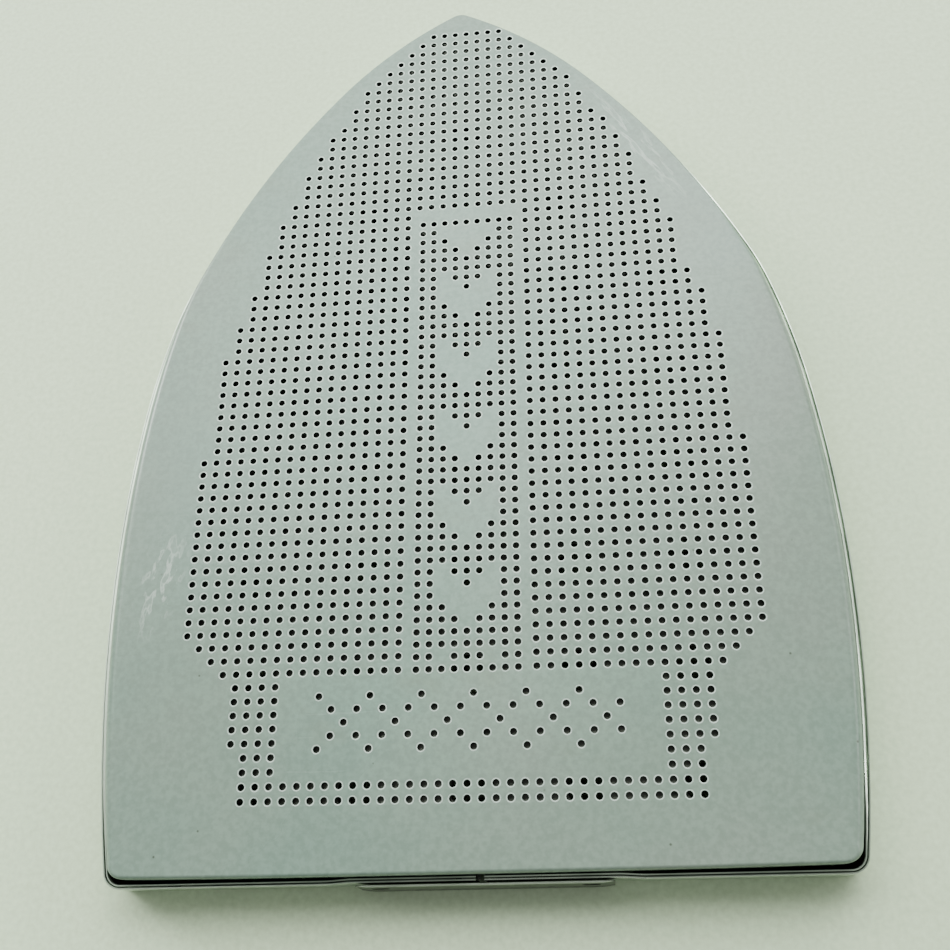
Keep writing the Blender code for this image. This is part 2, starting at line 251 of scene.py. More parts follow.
def right_side():
    """The right half of the outline, from the toe's tip to where the heel starts."""
    radius, turn, steps = NOSE
    tip_y = SOLE_HIGH.y
    stations = [Station(0.0, tip_y, 0.0, 1.0, Corner(0.0, tip_y - radius, radius, 0.0, 1.0, turn))]
    stations += arc(0.0, tip_y, 0.0, radius, turn, steps * FINER, turn, 0.0)
    heading = turn
    for radius, turn, steps in FLANK_ARCS:
        stations += arc(stations[-1].x, stations[-1].y, heading, radius, turn, steps * FINER)
        heading += turn
    radius, turn, steps = CORNER
    start = stations.pop()
    corner = arc(start.x, start.y, heading, radius, turn, steps * 2, turn / 2, heading + turn / 2)
    return [*stations, start._replace(corner=corner[0].corner), *corner]


SIDE = right_side()
CORNER_FROM = len(SIDE) - CORNER[2] * 2 - 1
HEEL_HALF = SIDE[-1].x
HEEL_Y = SIDE[-1].y
JOINER_X = (JOINER_LOW.x + JOINER_HIGH.x) / 2
JOINER_FLAT = (JOINER_HIGH.x - JOINER_LOW.x) / 2 + 0.4


def lifted(station, by):
    corner = station.corner and station.corner._replace(y=station.corner.y + by)
    return station._replace(y=station.y + by, corner=corner)


def mirrored(station):
    corner = station.corner
    if corner:
        corner = corner._replace(x=-corner.x, aim_x=-corner.aim_x)
    return station._replace(x=-station.x, out_x=-station.out_x, corner=corner)


def place(station, offset):
    """The point this far outside the outline; an inset corner keeps a small radius."""
    corner = station.corner
    if corner is None or corner.radius + offset >= LEAST_RADIUS:
        return station.x + station.out_x * offset, station.y + station.out_y * offset
    back = (LEAST_RADIUS - corner.radius - offset) / cos(radians(corner.half_turn))
    x = corner.x - corner.aim_x * back + station.out_x * LEAST_RADIUS
    y = corner.y - corner.aim_y * back + station.out_y * LEAST_RADIUS
    return x, y


def eased(station, radius):
    """The same corner station on a larger corner that still meets both sides."""
    corner = station.corner
    back = (radius - corner.radius) / cos(radians(corner.half_turn))
    x, y = corner.x - corner.aim_x * back, corner.y - corner.aim_y * back
    corner = corner._replace(x=x, y=y, radius=radius)
    return station._replace(x=x + station.out_x * radius, y=y + station.out_y * radius, corner=corner)


def sole_loop():
    """The closed outline of the sole, its heel bowed a little between corners fuller than the rim's."""
    right = SIDE[:CORNER_FROM] + [eased(lifted(s, HEEL_BOW), SOLE_CORNER) for s in SIDE[CORNER_FROM:]]
    for step in range(HEEL_STEPS - 1, 0, -1):
        share = step / HEEL_STEPS
        right.append(Station(HEEL_HALF * share, HEEL_Y + HEEL_BOW * share**4, 0.0, -1.0, None))
    middle = Station(0.0, HEEL_Y, 0.0, -1.0, None)
    return [*right, middle, *[mirrored(s) for s in reversed(right[1:])]]


def smooth(share):
    share = min(max(share, 0.0), 1.0)
    return share * share * (3 - 2 * share)


def blend(value, low, high):
    """0 up to one value and 1 from another, with a smooth step between."""
    return smooth((value - low) / (high - low))


def heel_jog(x):
    return HEEL_JOG * (1 - smooth((abs(x - JOINER_X) - JOINER_FLAT) / JOG_RUN))


def heel_run(side):
    """Stations along half of the heel, from the band's end at the gap to the corner."""
    start = HEEL_GAP_X + side * HEEL_GAP / 2
    end = side * (HEEL_HALF - 0.5)
    places = [start + (end - start) * step / HEEL_RUN_STEPS for step in range(HEEL_RUN_STEPS)]
    return [Station(x, HEEL_Y + heel_jog(x), 0.0, -1.0, None) for x in places]


def band_path():
    left = [mirrored(s) for s in SIDE[1:]]
    return [*heel_run(1), *reversed(SIDE), *left, *reversed(heel_run(-1))]


# ---- meshes ----
def enrol(made, body, replaces, looks):
    """Gives a piece its materials, and says what it rides on and which CAD nodes it stands for."""
    for look in looks:
        made.data.materials.append(look)
    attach(made, body)
    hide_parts(*replaces)
    return made


def solid(name, points, faces):
    """An object from points in millimetres, its faces turned outwards."""
    mesh = bpy.data.meshes.new(name)
    mesh.from_pydata([(x * MM, y * MM, z * MM) for x, y, z in points], [], faces)
    build = bmesh.new()
    build.from_mesh(mesh)
    bmesh.ops.recalc_face_normals(build, faces=build.faces)
    build.to_mesh(mesh)
    build.free()
    made = bpy.data.objects.new(name, mesh)
    bpy.context.collection.objects.link(made)
    return made


def piece(name, points, faces, body, replaces, looks, crease=35.0, bores=()):
    """A piece with its bores cut and its sharp edges marked."""
    made = solid(name, points, faces)
    for tool in bores:
        cut = made.modifiers.new("bore", "BOOLEAN")
        cut.operation = "DIFFERENCE"
        cut.solver = "EXACT"
        cut.object = tool
    if bores:
        view = bpy.context.evaluated_depsgraph_get()
        mesh = bpy.data.meshes.new_from_object(made.evaluated_get(view))
        made.modifiers.clear()
        made.data = mesh
        for tool in bores:
            bpy.data.objects.remove(tool, do_unlink=True)
    made.data.shade_smooth()
    made.data.set_sharp_from_angle(angle=radians(crease))
    return enrol(made, body, replaces, looks)


def softened(made, width, angle=40.0):
    """Rounds a piece's sharp edges, as a stamping or a file leaves them."""
    bevel = made.modifiers.new("softened", "BEVEL")
    bevel.width = width * MM
    bevel.segments = 3
    bevel.limit_method = "ANGLE"
    bevel.angle_limit = radians(angle)
    bevel.harden_normals = True
    return made


def capped(rings, size):
    """The faces of a closed loft: walls between rings, and a cap on each end."""
    last = (rings - 1) * size
    return [*ring_faces(rings, size), tuple(range(size)), tuple(range(last, last + size))]


def round_bar(name, centre, radius, half, axis, sides=32):
    """A bar to cut with, along X (0), Y (1) or Z (2) about a centre, this far each way."""
    points = []
    for end in (-half, half):
        for i in range(sides):
            turn = 2 * pi * i / sides
            across = [radius * cos(turn), radius * sin(turn)]
            across.insert(axis, end)
            points.append([c + a for c, a in zip(centre, across)])
    return solid(name, points, capped(2, sides))


def ring_faces(rings, size, first=0):
    """The walls between rings of points that are counted on from the first."""
    faces = []
    for ring in range(rings - 1):
        here, there = first + ring * size, first + (ring + 1) * size
        for i in range(size):
            after = (i + 1) % size
            faces.append((here + i, here + after, there + after, there + i))
    return faces


def punched_face(loop, holes, radius, sides):
    """Triangles that fill a loop round these holes. Points count round the loop, then hole by hole."""
    points = [Vector(p) for p in loop]
    edges = [(i, (i + 1) % len(loop)) for i in range(len(loop))]
    for x, y in holes:
        first = len(points)
        for i in range(sides):
            turn = 2 * pi * i / sides
            points.append(Vector((x + radius * cos(turn), y + radius * sin(turn))))
            edges.append((first + i, first + (i + 1) % sides))
    _, _, faces, origin, _, _ = geometry.delaunay_2d_cdt(points, edges, [], 1, 1e-6)
    given = [old[0] for old in origin]
    kept = []
    for face in faces:
        face = [given[i] for i in face]
        rings = {(i - len(loop)) // sides if i >= len(loop) else -1 - i for i in face}
        if len(rings) > 1 or min(rings) < 0:
            kept.append(tuple(face))
    return kept


def formed_sheet(edge, holes, hole_rings, sides):
    """A formed sheet: edge gives its section at a station, from the top's rim to the underside's, as
    (offset, z), and hole_rings takes each hole from the top face to the underside, as (radius, z).
    The faces of the holes come first, hole by hole."""
    loop = sole_loop()
    sections = [edge(s) for s in loop]
    size, rings = len(loop), len(sections[0])
    points, faces = [], []
    for x, y in holes:
        start = len(points)
        for radius, z in hole_rings:
            for i in range(sides):
                turn = 2 * pi * i / sides
                points.append((x + radius * cos(turn), y + radius * sin(turn), z))
        faces += ring_faces(len(hole_rings), sides, start)
    first = len(points)
    for ring in range(rings):
        for s, section in zip(loop, sections):
            offset, z = section[ring]
            points.append((*place(s, offset), z))
    faces += ring_faces(rings, size, first)
    per_hole = sides * len(hole_rings)
    for rim, ring in ((0, 0), (rings - 1, len(hole_rings) - 1)):
        start = first + rim * size
        rim_points = [p[:2] for p in points[start : start + size]]
        for face in punched_face(rim_points, holes, hole_rings[ring][0], sides):
            real = []
            for i in face:
                hole, corner = divmod(i - size, sides)
                real.append(start + i if i < size else hole * per_hole + ring * sides + corner)
            faces.append(tuple(real))
    return points, faces


def foot(face, thickness, low):
    """The lower edge of a turned-down sheet, its corners broken, from outside to inside."""
    back = face - thickness
    outside = [(face, low + EDGE_BREAK), (face - EDGE_BREAK, low)]
    return [*outside, (back + EDGE_BREAK, low), (back, low + EDGE_BREAK)]


def rounding(offset, z, radius, start, end, steps):
    """Points on an arc of the profile round a centre, with 0 degrees up and 90 outwards."""
    made = []
    for step in range(steps + 1):
        turn = radians(start + (end - start) * step / steps)
        made.append((offset + radius * sin(turn), z + radius * cos(turn)))
    return made


# ---- where the holes are ----
def row_y(row):
    return FIRST_ROW - PITCH * row


def field_rows():
    """The last column on the left and on the right of each row down to the heel panel."""
    widths = []
    for step, rows in enumerate(ROWS_AT_WIDTH):
        widths += [NARROWEST + step] * rows
    widest = widths[-1]
    widths += [widest - 1 - step for step in range(NARROWING_ROWS)]
    rows = []
    for row, width in enumerate(widths):
        after = widths[min(row + 1, len(widths) - 1)]
        early = after > width and after in EARLY_ON_THE_RIGHT
        rows.append((width, after if early else width))
    return rows


def main_holes():
    holes = []
    rows = field_rows()
    for row, (left, right) in enumerate(rows):
        for column in range(-left, right + 1):
            if row < PANEL_FROM_ROW or abs(column) >= PANEL_CLEAR:
                holes.append((column * PITCH, row_y(row)))
    row = len(rows)
    for inner, outer, count in SIDE_BLOCKS:
        for _ in range(count):
            for column in range(inner, outer + 1):
                holes += [(column * PITCH, row_y(row)), (-column * PITCH, row_y(row))]
            row += 1
    width, count = LAST_ROWS
    for _ in range(count):
        holes += [(column * PITCH, row_y(row)) for column in range(-width, width + 1)]
        row += 1
    return holes


def panel_holes():
    """The middle panel: a closed border of holes round stacked chevrons left blank."""
    holes = []
    half = PANEL_COLUMNS // 2
    for row in range(PANEL_ROWS):
        for column in range(-half, half + 1):
            border = abs(column) >= half - 1 or row in (0, PANEL_ROWS - 1)
            chevron = (row + abs(column)) % CHEVRON_RISE in (1, 2, 3)
            if border or not chevron:
                holes.append((column * PANEL_PITCH[0], PANEL_TOP - row * PANEL_PITCH[1]))
    return holes


def heel_holes():
    """The heel panel: a chain of diamonds, as two zigzags that mirror each other."""
    columns, rows, pitch = HEEL_MOTIF
    holes = set()
    for column in range(columns):
        rise = column % (2 * (rows - 1))
        level = rise if rise < rows else 2 * (rows - 1) - rise
        for row in (level, rows - 1 - level):
            x = (column - (columns - 1) / 2) * pitch
            holes.add((round(x, 4), round(HEEL_MOTIF_TOP - row * pitch, 4)))
    return sorted(holes)


def in_outline(x, y):
    """From the field's own axes to the outline's."""
    turn = radians(FIELD_TURN)
    shift_x, shift_y = FIELD_SHIFT
    return x * cos(turn) - y * sin(turn) + shift_x, x * sin(turn) + y * cos(turn) + shift_y


# ---- materials ----
def new_material(name):
    made = bpy.data.materials.new(name)
    made.use_nodes = True
    tree = made.node_tree
    shader = tree.nodes["Principled BSDF"]
    return made, tree, shader


def add(tree, kind, inputs=None, **settings):
    node = tree.nodes.new(kind)
    for key, value in settings.items():
        setattr(node, key, value)
    for key, value in (inputs or {}).items():
        socket = node.inputs[key]
        if isinstance(value, bpy.types.NodeSocket):
            tree.links.new(value, socket)
        else:
            socket.default_value = value
    return node


def coordinates(tree, scale=(1.0, 1.0, 1.0), turn=0.0):
    where = add(tree, "ShaderNodeTexCoord")
    mapping = add(tree, "ShaderNodeMapping", {"Vector": where.outputs["Object"], "Scale": scale})
    mapping.inputs["Rotation"].default_value = (0.0, 0.0, radians(turn))
    return mapping.outputs["Vector"]


def ramp(tree, value, stops):
    node = add(tree, "ShaderNodeValToRGB", {"Fac": value})
    elements = node.color_ramp.elements
    while len(elements) > 1:
        elements.remove(elements[-1])
    for index, (position, colour) in enumerate(stops):
        element = elements[0] if index == 0 else elements.new(position)
        element.position = position
        element.color = (*colour, 1.0) if len(colour) == 3 else colour
    return node.outputs["Color"]


def mixed(tree, factor, under, over, mode="MIX"):
    node = add(tree, "ShaderNodeMix", data_type="RGBA", blend_type=mode)
    for socket, value in (("Factor", factor), ("A", under), ("B", over)):
        kinds = ("RGBA", "VALUE")
        socket = next(s for s in node.inputs if s.name == socket and s.type in kinds and s.enabled)
        if isinstance(value, bpy.types.NodeSocket):
            tree.links.new(value, socket)
        elif socket.type == "RGBA":
            socket.default_value = (*value, 1.0)
        else:
            socket.default_value = value
    return next(s for s in node.outputs if s.enabled)


def grey(value):
    return (value, value, value)


def noise_field(tree, where, scale, detail=3.0, stretch=(1.0, 1.0, 1.0), turn=0.0):
    """Noise at given coordinates, or at the object's own with a stretch and a turn."""
    here = coordinates(tree, stretch, turn) if where is None else where
    node = add(tree, "ShaderNodeTexNoise", {"Vector": here, "Scale": scale, "Detail": detail})
    return node.outputs["Fac"]


def position(tree, axis):
    """How far along X, Y or Z the surface is, in metres."""
    where = add(tree, "ShaderNodeTexCoord")
    apart = add(tree, "ShaderNodeSeparateXYZ", {"Vector": where.outputs["Object"]})
    return apart.outputs[axis]


def between(tree, value, low, high):
    """0 below one value and 1 above another, which are in millimetres."""
    inputs = {"Value": value, "From Min": low * MM, "From Max": high * MM}
    return add(tree, "ShaderNodeMapRange", inputs).outputs["Result"]


def reckoned(tree, operation, *values):
    node = add(tree, "ShaderNodeMath", dict(enumerate(values)), operation=operation)
    return node.outputs["Value"]


def height_band(tree, low, high):
    """0 below one height and 1 above another, in millimetres."""
    return between(tree, position(tree, "Z"), low, high)


def bumped(tree, shader, layers):
    """Stacks bump layers of (height, strength, distance in millimetres) on the shader's normal."""
    last = None
    for height, strength, distance in layers:
        inputs = {"Height": height, "Strength": strength, "Distance": distance * MM}
        node = add(tree, "ShaderNodeBump", inputs)
        if last is not None:
            tree.links.new(last.outputs["Normal"], node.inputs["Normal"])
        last = node
    tree.links.new(last.outputs["Normal"], shader.inputs["Normal"])


def length(tree, vector):
    return add(tree, "ShaderNodeVectorMath", {0: vector}, operation="LENGTH").outputs["Value"]


def tint_and_painted_shade(tree):
    """A cyan tint over the perforated field, and painted shade that darkens the film towards the rim and the
    heel.
    """
    where = add(tree, "ShaderNodeTexCoord")
    spread = add(tree, "ShaderNodeMapping", {"Vector": where.outputs["Object"], "Scale": SHADE_OVAL_SCALE})
    spread.inputs["Location"].default_value = SHADE_OVAL_SHIFT
    return ramp(tree, length(tree, spread.outputs["Vector"]), TINTS_AND_PAINTED_SHADE)


def scuffed(tree, centre, turn, half_length, half_width, streaks):
    """1 along ragged streaks inside a soft-edged patch of the film, in millimetres and degrees."""
    where = add(tree, "ShaderNodeTexCoord")
    moved = add(tree, "ShaderNodeMapping", {"Vector": where.outputs["Object"]}, vector_type="TEXTURE")
    moved.inputs["Location"].default_value = (centre[0] * MM, centre[1] * MM, 0.0)
    moved.inputs["Rotation"].default_value = (0.0, 0.0, radians(turn))
    moved.inputs["Scale"].default_value = (half_length * MM, half_width * MM, 1000.0)
    inside = ramp(tree, length(tree, moved.outputs["Vector"]), [(0.35, grey(1.0)), (1.0, grey(0.0))])
    ragged = noise_field(tree, moved.outputs["Vector"], streaks, 6.0)
    lines = ramp(tree, ragged, [(0.52, grey(0.0)), (0.57, grey(1.0)), (0.62, grey(0.15))])
    return mixed(tree, 1.0, inside, lines, "MULTIPLY")


def non_stick():
    """Satin grey-green film: cloudy tints, iron stains, specks, fine scratches and a pebbled surface, with
    painted shade towards the rim and the heel and on the skirt that tucks into the rim.
    """
    made, tree, shader = new_material("non_stick_film")
    here = coordinates(tree)
    cloud = noise_field(tree, here, 26.0, 4.0)
    tint = ramp(tree, cloud, [(0.32, FILM_GREEN), (0.52, FILM_GREY), (0.70, FILM_ROSE)])
    fine = ramp(tree, noise_field(tree, here, 1100.0, 2.0), [(0.35, grey(0.91)), (0.65, grey(1.08))])
    colour = mixed(tree, 1.0, tint, fine, "MULTIPLY")
    smudge = noise_field(tree, None, 60.0, 5.0, (1.0, 1.6, 1.0), 20.0)
    smudge = ramp(tree, smudge, [(0.60, grey(0.0)), (0.78, grey(0.35))])
    colour = mixed(tree, smudge, colour, FILM_SMUDGE)
    spots = add(tree, "ShaderNodeTexVoronoi", {"Vector": here, "Scale": 190.0})
    dot = ramp(tree, spots.outputs["Distance"], [(0.028, grey(0.8)), (0.050, grey(0.0))])
    chosen = ramp(tree, spots.outputs["Color"], [(0.62, grey(0.0)), (0.66, grey(1.0))])
    colour = mixed(tree, mixed(tree, 1.0, dot, chosen, "MULTIPLY"), colour, SPECK)
    # painted shade: the film darkens towards the rim and the heel, with a cyan tint in the middle
    colour = mixed(tree, 1.0, colour, tint_and_painted_shade(tree), "MULTIPLY")
    for patch in SCUFFS:
        mark = mixed(tree, 1.0, scuffed(tree, *patch), grey(SCUFF_STRENGTH), "MULTIPLY")
        colour = mixed(tree, mark, colour, FILM_SCUFF)
    # painted shade: the film's skirt is near black below the roll, where it tucks into the rim
    painted_shade = height_band(tree, SOLE_HIGH.z - 4.0, SOLE_HIGH.z - 1.7)
    colour = mixed(tree, painted_shade, SHADE_BLACK, colour)
    tree.links.new(colour, shader.inputs["Base Color"])

    scratch = noise_field(tree, None, 1.0, 3.0, (35.0, 900.0, 60.0), 28.0)
    lines = ramp(tree, scratch, [(0.66, grey(0.0)), (0.70, grey(1.0))])
    unmarked = ramp(tree, scratch, [(0.66, grey(1.0)), (0.70, grey(0.0))])
    rough = ramp(tree, cloud, [(0.3, grey(0.26)), (0.7, grey(0.33))])
    tree.links.new(mixed(tree, lines, rough, grey(0.42)), shader.inputs["Roughness"])
    bumped(tree, shader, [
        (noise_field(tree, here, 1500.0, 2.0), 0.25, 0.04),
        (noise_field(tree, here, 230.0, 2.0), 0.35, 0.05),
        (unmarked, 0.15, 0.02),
    ])
    return made


def painted_hole_glint():
    """Painted highlight round each hole: a bright ring that stands for the dimple's reflection, fainter
    towards the heel.
    """
    made, tree, shader = new_material("painted_hole_glint")
    here = coordinates(tree)
    patchy = noise_field(tree, here, 500.0, 3.0)
    bright = ramp(tree, patchy, [(0.35, GLINT_DARK), (0.62, GLINT_LIGHT)])
    toeward = between(tree, position(tree, "Y"), GLINT_FAINT_Y, GLINT_STRONG_Y)
    toe_glint = ramp(tree, toeward, [(0.0, grey(0.66)), (1.0, grey(1.08))])
    tree.links.new(mixed(tree, 1.0, bright, toe_glint, "MULTIPLY"), shader.inputs["Base Color"])
    tree.links.new(ramp(tree, patchy, [(0.3, grey(0.38)), (0.7, grey(0.24))]), shader.inputs["Roughness"])
    bumped(tree, shader, [(noise_field(tree, here, 2500.0, 2.0), 0.2, 0.02)])
    return made


def bore():
    """The wall of a punched hole: film-coloured at the top, and near black below as painted shade inside the
    hole.
    """
    made, tree, shader = new_material("hole_wall")
    mottle = noise_field(tree, coordinates(tree), 900.0, 3.0)
    # painted shade: the wall is near black below its top, with a faint mottle
    painted_shade = ramp(tree, mottle, [(0.3, grey(0.006)), (0.7, grey(0.02))])
    unshaded = height_band(tree, SOLE_HIGH.z - WALL_LIT, SOLE_HIGH.z - WALL_LIT + 0.05)
    tree.links.new(mixed(tree, unshaded, painted_shade, FILM_GREY), shader.inputs["Base Color"])
    tree.links.new(ramp(tree, mottle, [(0.3, grey(0.85)), (0.7, grey(0.6))]), shader.inputs["Roughness"])
    bumped(tree, shader, [(mottle, 0.3, 0.02)])
    return made


def behind_strip(tree):
    """Painted shade mask: 0 on the rim's face behind the heel strip, painted dark as shade, 1 elsewhere."""
    off = reckoned(tree, "ABSOLUTE", reckoned(tree, "SUBTRACT", position(tree, "X"), JOINER_X * MM))
    aside = between(tree, off, JOINER_FLAT - 2.0, JOINER_FLAT)
    skin = HEEL_Y + HEEL_JOG - OUTER_FACE + 0.05
    ahead = between(tree, position(tree, "Y"), skin, skin + 0.1)
    above = height_band(tree, OUTER_HIGH.z - 0.4, OUTER_HIGH.z - 0.1)
    return reckoned(tree, "MAXIMUM", reckoned(tree, "MAXIMUM", aside, ahead), above)


def inner_lit_edge(tree):
    """Painted shade mask: 0 on the inner ply's walls in the gap, painted dark as shade, 1 along its top edge.
    """
    return height_band(tree, INNER_HIGH.z - 0.9, INNER_HIGH.z - 0.3)


def strip_lit_edge(tree):
    """Painted shade mask: 0 on the heel strip's face, painted dark as shade, 1 along its top edge."""
    return height_band(tree, JOINER_HIGH.z - 0.5, JOINER_HIGH.z - 0.2)


def metal(name, shade_mask=None, shade_colour=SHADE_BLACK):
    """Rolled or drawn metal: streaks along the grain, cloudiness and a fine bump. The optional mask is a
    function that tells lit metal from painted shade, given the node tree; the shade takes the given shade
    colour."""
    dark, light, roughness, grain, grain_scale = METALS[name]
    made, tree, shader = new_material(name)
    streak = noise_field(tree, None, grain_scale, 5.0, grain)
    cloud = noise_field(tree, None, 120.0)
    half = reckoned(tree, "MULTIPLY", reckoned(tree, "ADD", streak, cloud), 0.5)
    low, high = roughness
    colour = ramp(tree, half, [(0.38, dark), (0.62, light)])
    rough = ramp(tree, half, [(0.35, grey(high)), (0.65, grey(low))])
    if shade_mask:
        unshaded = shade_mask(tree)
        colour = mixed(tree, unshaded, shade_colour, colour)
        rough = mixed(tree, unshaded, grey(0.85), rough)
    tree.links.new(colour, shader.inputs["Base Color"])
    tree.links.new(rough, shader.inputs["Roughness"])
    bumped(tree, shader, [(streak, 0.2, 0.03), (noise_field(tree, None, 900.0, 2.0), 0.15, 0.02)])
    shader.inputs["Metallic"].default_value = 1.0
    return made


# ---- pieces ----
def shoulder(station):
    """The radius that the sheet's edge rolls over at: full along the sides, tight at the toe and the heel."""
    full, tight = SHOULDER
    radius = full + (tight - full) * blend(station.y, *SHOULDER_BLEND_Y)
    return radius + (HEEL_SHOULDER - radius) * smooth(-station.out_y)


def build_sole(looks):
    top, low = SOLE_HIGH.z, SOLE_LOW.z

    def edge(station):
        radius = shoulder(station)
        outside = rounding(-radius, top - radius, radius, 0.0, 90.0, 10)
        inside = rounding(-radius, top - radius, max(radius - SHEET, 0.02), 90.0, 0.0, 4)
        inside = [(min(offset, -SHEET), min(z, top - SHEET)) for offset, z in inside]
        return [*outside, *foot(0.0, SHEET, low), *inside]

    hole_rings = [(DIMPLE, top), (HOLE, top - DIMPLE_DEPTH), (HOLE, top - SHEET)]
    holes = [in_outline(x, y) for x, y in main_holes() + panel_holes() + heel_holes()]
    points, faces = formed_sheet(edge, holes, hole_rings, HOLE_SIDES)
    made = piece("perforated_sole", points, faces, SHOE, ["sole_sheet"], looks, 50.0)
    walls = len(hole_rings) - 1
    for index in range(len(holes) * walls * HOLE_SIDES):
        ring = index // HOLE_SIDES % walls
        made.data.polygons[index].material_index = 2 if ring == walls - 1 else 1
    weighted = made.modifiers.new("face_weighted", "WEIGHTED_NORMAL")
    weighted.mode = "FACE_AREA"
    weighted.keep_sharp = True
    return made


def steam_places():
    """A square grid of steam holes, as far out as the plate has room for them."""
    loop = sole_loop()
    made = []
    for row in range(-STEAM_ROWS, STEAM_ROWS + 1):
        y = row * STEAM_PITCH
        near = [abs(s.x) for s in loop if abs(s.y - y) < STEAM_PITCH / 2 and abs(s.x) > 1.0]
        half = min(near) - STEAM_MARGIN - STEAM_RADIUS if near else 0.0
        count = int(half // STEAM_PITCH) if half > 0 else -1
        made += [(column * STEAM_PITCH, y) for column in range(-count, count + 1)]
    return made


def build_plate(look):
    top, low = PLATE_HIGH.z, PLATE_LOW.z
    face = -SOLE_SHEET - CLEARANCE
    bend = face - PLATE_BEND

    def edge(_):
        outside = rounding(bend, top - PLATE_BEND, PLATE_BEND, 0.0, 90.0, 8)
        inside = rounding(bend, top - PLATE_BEND, PLATE_BEND - PLATE, 90.0, 0.0, 3)
        return [*outside, *foot(face, PLATE, low), *inside]

    wide, under = STEAM_RADIUS + STEAM_LIP, top - PLATE
    rings = [(wide, top), (STEAM_RADIUS, top - STEAM_LIP), (STEAM_RADIUS, under + STEAM_LIP), (wide, under)]
    points, faces = formed_sheet(edge, steam_places(), rings, STEAM_SIDES)
    return piece("steam_plate", points, faces, SHOE, ["heat_plate"], [look])


def band_piece(name, section, replaces, look):
    path = band_path()
    points = [(*place(s, offset), z) for s in path for offset, z in section(s)]
    faces = capped(len(path), len(section(path[0])))
    return piece(name, points, faces, SHOE, replaces, [look])


def build_inner_band(look):
    """The ply next to the sheet. Along the sides it is thicker, and on the right hammered to a slope."""
    top, low, edge = INNER_HIGH.z, INNER_LOW.z, PLY_EDGE

    def section(station):
        snug = blend(abs(station.out_x), *SNUG_SIDEWAYS) * blend(station.y, *SNUG_Y)
        face = INNER_FACE + SNUG_OUT * snug
        back = INNER_FACE - PLY - SNUG_IN * snug
        brow = top - SNUG_SLOPE * snug * (station.out_x > 0)
        return [
            (face - edge, brow), (face, brow - edge), (face, low + edge), (face - edge, low),
            (-INNER_LIP, low), (-INNER_LIP, low + PLY), (back, low + PLY),
            (back, top - edge), (back + edge, top),
        ]

    return band_piece("rim_inner_ply", section, ["inner_band"], look)


def outer_lip(y):
    narrow, wide = OUTER_LIP
    return narrow + (wide - narrow) * blend(y, *OUTER_LIP_BLEND_Y)


def build_outer_band(look):
    """The ply that turns under the shoe in a lip, widest round the toe."""
    top, edge = OUTER_HIGH.z, PLY_EDGE
    face, back = OUTER_FACE, OUTER_FACE - PLY

    def section(station):
        inner = face - outer_lip(station.y)
        corner = rounding(face - PLY_BEND, PLY_BEND, PLY_BEND, 90.0, 180.0, 4)
        return [
            (face - edge, top), (face, top - edge), *corner,
            (inner, 0.0), (inner, PLY), (back, PLY), (back, top - edge), (back + edge, top),
        ]

    return band_piece("rim_outer_ply", section, ["outer_band"], look)


def build_joiner(look):
    """The strip across the gap: its ends dressed to a taper, its two slots punched through."""
    left, right = JOINER_LOW.x, JOINER_HIGH.x
    rear, front = JOINER_LOW.y, JOINER_HIGH.y - STRIP_STANDOFF
    low, high = JOINER_LOW.z, JOINER_HIGH.z
    edge = STRIP_EDGE
    points = []
    for step in range(STRIP_STEPS + 1):
        x = left + (right - left) * step / STRIP_STEPS
        from_end = min(x - left, right - x)
        thin, drop = (most * (1 - smooth(from_end / run)) for most, run in (STRIP_THIN, STRIP_DROP))
        back = rear + JOINER_SLANT + thin
        top, foot_z = high - drop, low + drop
        section = [
            (back + edge, top), (back, top - edge), (back, foot_z + edge), (back + edge, foot_z),
            (front - edge, foot_z), (front, foot_z + edge), (front, top - edge), (front - edge, top),
        ]
        points += [(x, y - JOINER_SLANT * (high - z) / (high - low), z) for y, z in section]
    slots = []
    half_width, half_height = (size / 2 for size in JOINER_SLOT)
    for side, x in (("left", left + JOINER_SLOT_IN), ("right", right - JOINER_SLOT_IN)):
        slot = []
        for y in (rear - 1, front + 1):
            for i in range(SLOT_SIDES):
                turn = 2 * pi * i / SLOT_SIDES
                along = (half_width - half_height) * (1 if cos(turn) > 0 else -1)
                z = high - JOINER_SLOT_DROP + half_height * sin(turn)
                slot.append((x + along + half_height * cos(turn), y, z))
        slots.append(solid(f"slot_{side}", slot, capped(2, SLOT_SIDES)))
    faces = capped(STRIP_STEPS + 1, 8)
    return piece("heel_strip", points, faces, SHOE, ["heel_joiner"], [look], bores=slots)


def build_hood(look):
    """The plate across the toe, with a hollow rear edge and a bore for each rivet."""
    low, high = HOOD_LOW.z, HOOD_HIGH.z
    right = [place(s, HOOD_EDGE) for s in SIDE if s.y >= HOOD_LOW.y - 0.01]
    end_x, end_y = right[-1]
    plan = list(right)
    for step in range(1, HOOD_SAG_STEPS):
        share = 1 - 2 * step / HOOD_SAG_STEPS
        plan.append((end_x * share, end_y + HOOD_SAG * (1 - share * share)))
    plan += [(-x, y) for x, y in reversed(right[1:])]
    points = [(x, y, z) for z in (low, high) for x, y in plan]
    bores = []
    for side, (x, y) in rivet_places("hood"):
        bores.append(round_bar(f"hood_bore_{side}", (x, y, low), HOOD_BORE, BORE_HALF, 2))
    faces = capped(2, len(plan))
    made = piece("toe_pocket", points, faces, SHOE, ["toe_hood"], [look], bores=bores)
    return softened(made, HOOD_SOFTENED)


def rivet_places(start):
    """The middle of each CAD rivet whose name starts like this, in plan, with its side."""
    made = []
    for node in sorted(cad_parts):
        if node.startswith(f"{start}_rivet"):
            low, high = corners_mm(node)
            made.append((node.replace(f"{start}_rivet_", ""), ((low.x + high.x) / 2, (low.y + high.y) / 2)))
    return made


